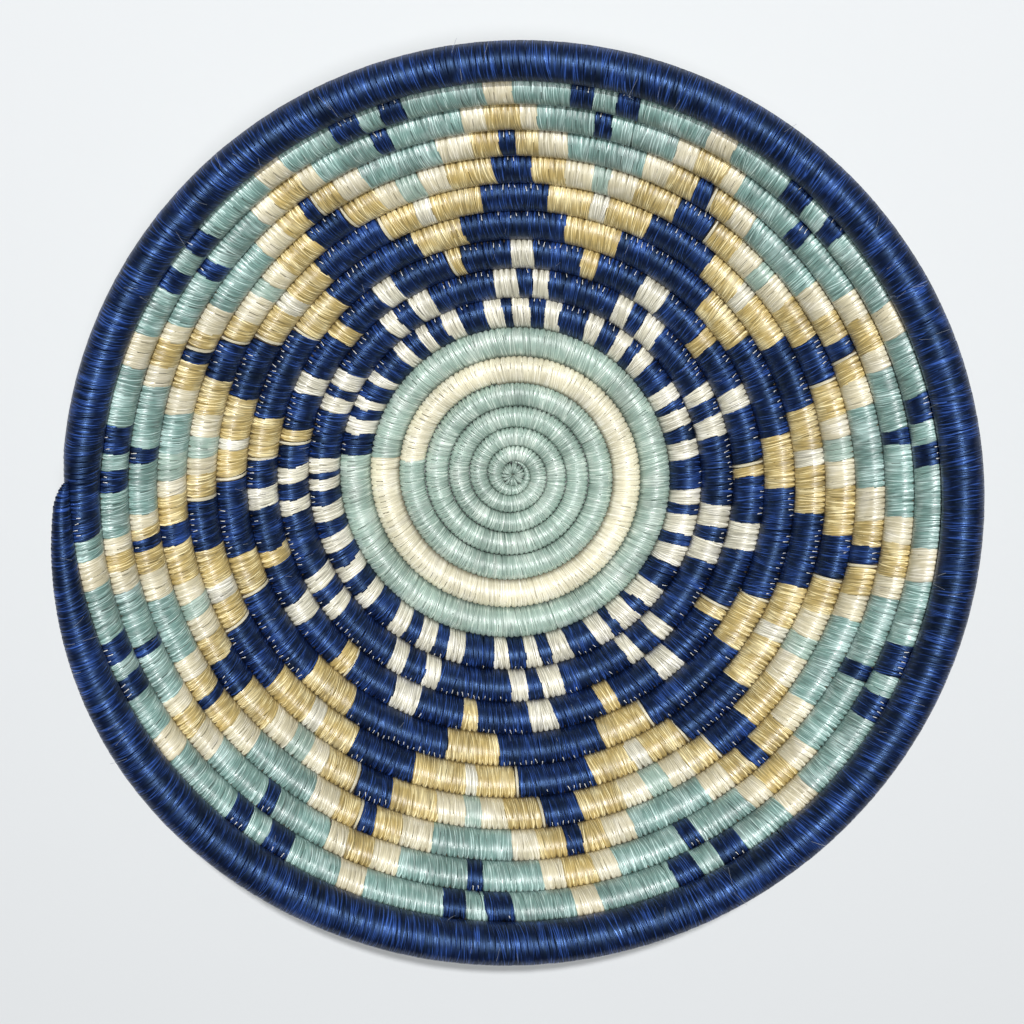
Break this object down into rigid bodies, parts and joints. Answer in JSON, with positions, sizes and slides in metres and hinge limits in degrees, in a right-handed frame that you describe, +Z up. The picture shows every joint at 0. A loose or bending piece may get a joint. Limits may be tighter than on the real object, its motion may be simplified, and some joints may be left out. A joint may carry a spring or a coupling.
{
  "type": "coiled basket",
  "caption": "Round coiled bowl basket with a flat base, sloping sides and a thick rim, bound in dyed sisal with a radiating star pattern.",
  "frame": {"origin": "centre of the flat base, in the plane that the basket stands on", "axes": "+Z up along the bowl's axis and out of its mouth; seen from above, +X is the picture's right and +Y its top"},
  "size_m": [0.3006, 0.3014, 0.0821],
  "materials": {
    "teal_sisal": "satin dyed fibre",
    "cream_sisal": "satin natural fibre",
    "pattern_sisal": "satin dyed fibre in navy, gold, cream, white and teal",
    "navy_sisal": "satin dyed fibre",
    "grass": "dull dry grass"
  },
  "bodies": {
    "root": {"centre_knot": "teal_sisal", "grass_bundle": "grass", "centre_binding_1": "teal_sisal", "centre_binding_2": "teal_sisal", "centre_binding_3": "teal_sisal", "centre_binding_4": "teal_sisal", "cream_ring_binding": "cream_sisal", "teal_ring_binding": "teal_sisal", "pattern_binding_1": "pattern_sisal", "pattern_binding_2": "pattern_sisal", "pattern_binding_3": "pattern_sisal", "pattern_binding_4": "pattern_sisal", "pattern_binding_5": "pattern_sisal", "pattern_binding_6": "pattern_sisal", "pattern_binding_7": "pattern_sisal", "pattern_binding_8": "pattern_sisal", "pattern_binding_9": "pattern_sisal", "rim_binding": "navy_sisal"}
  },
  "joints": []
}
